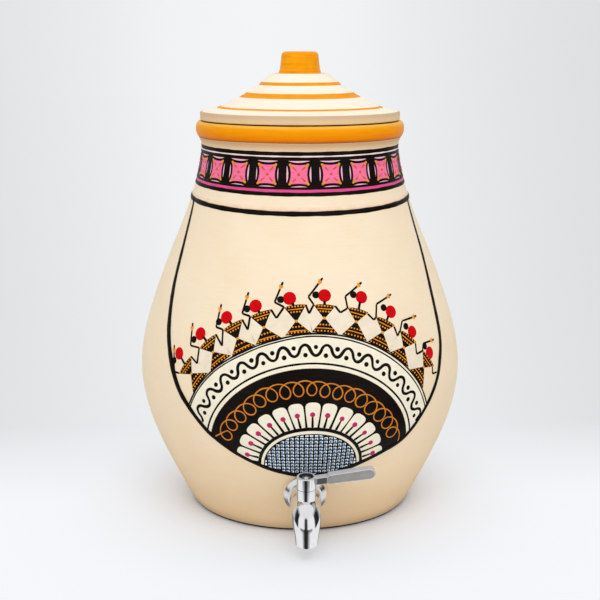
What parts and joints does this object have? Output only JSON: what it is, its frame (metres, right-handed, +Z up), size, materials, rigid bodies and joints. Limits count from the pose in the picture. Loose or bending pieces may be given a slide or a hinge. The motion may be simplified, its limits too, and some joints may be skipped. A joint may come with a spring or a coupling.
{
  "type": "clay water pot with tap",
  "caption": "Round-bellied clay water pot with a rolled rim, a loose stepped lid with a knob, and a chrome quarter-turn side-lever tap near its foot.",
  "frame": {"origin": "middle of the flat base, on the pot's axis", "axes": "+Z up along the pot's axis; the tap points along -Y; its lever points along +X when the tap is shut"},
  "size_m": [0.2974, 0.3218, 0.4162],
  "materials": {
    "pot_clay": "matt cream slip over fired clay, with painted bands",
    "lid_clay": "matt cream slip over fired clay, with orange painted rings",
    "tap_chrome": "bright chrome plate over brass",
    "gasket_rubber": "matt black rubber",
    "seal_rubber": "smooth black rubber",
    "steel": "plain stainless steel",
    "brass": "machined brass",
    "white_plastic": "white low-friction plastic"
  },
  "bodies": {
    "pot": {"pot_body": "pot_clay", "tap_body": "tap_chrome", "escutcheon": "tap_chrome", "outer_gasket": "gasket_rubber", "inner_gasket": "gasket_rubber", "inner_washer": "steel", "back_nut": "brass", "thrust_washer": "white_plastic", "gland_nut": "brass"},
    "lid": {"lid": "lid_clay"},
    "lever": {"lever": "tap_chrome", "valve_plug": "brass", "lower_plug_seal": "seal_rubber", "upper_plug_seal": "seal_rubber", "lock_washer": "steel", "lever_screw": "steel"}
  },
  "joints": [
    {"name": "lid_lift", "type": "slide", "parent": "pot", "child": "lid", "axis": [0, 0, 1], "range_m": [0, 0.12]},
    {"name": "valve_turn", "type": "hinge", "parent": "pot", "child": "lever", "pos_m": [0, -0.14974, 0.03815], "axis": [0, 0.0872, -0.9962], "range_deg": [0, 90]}
  ]
}
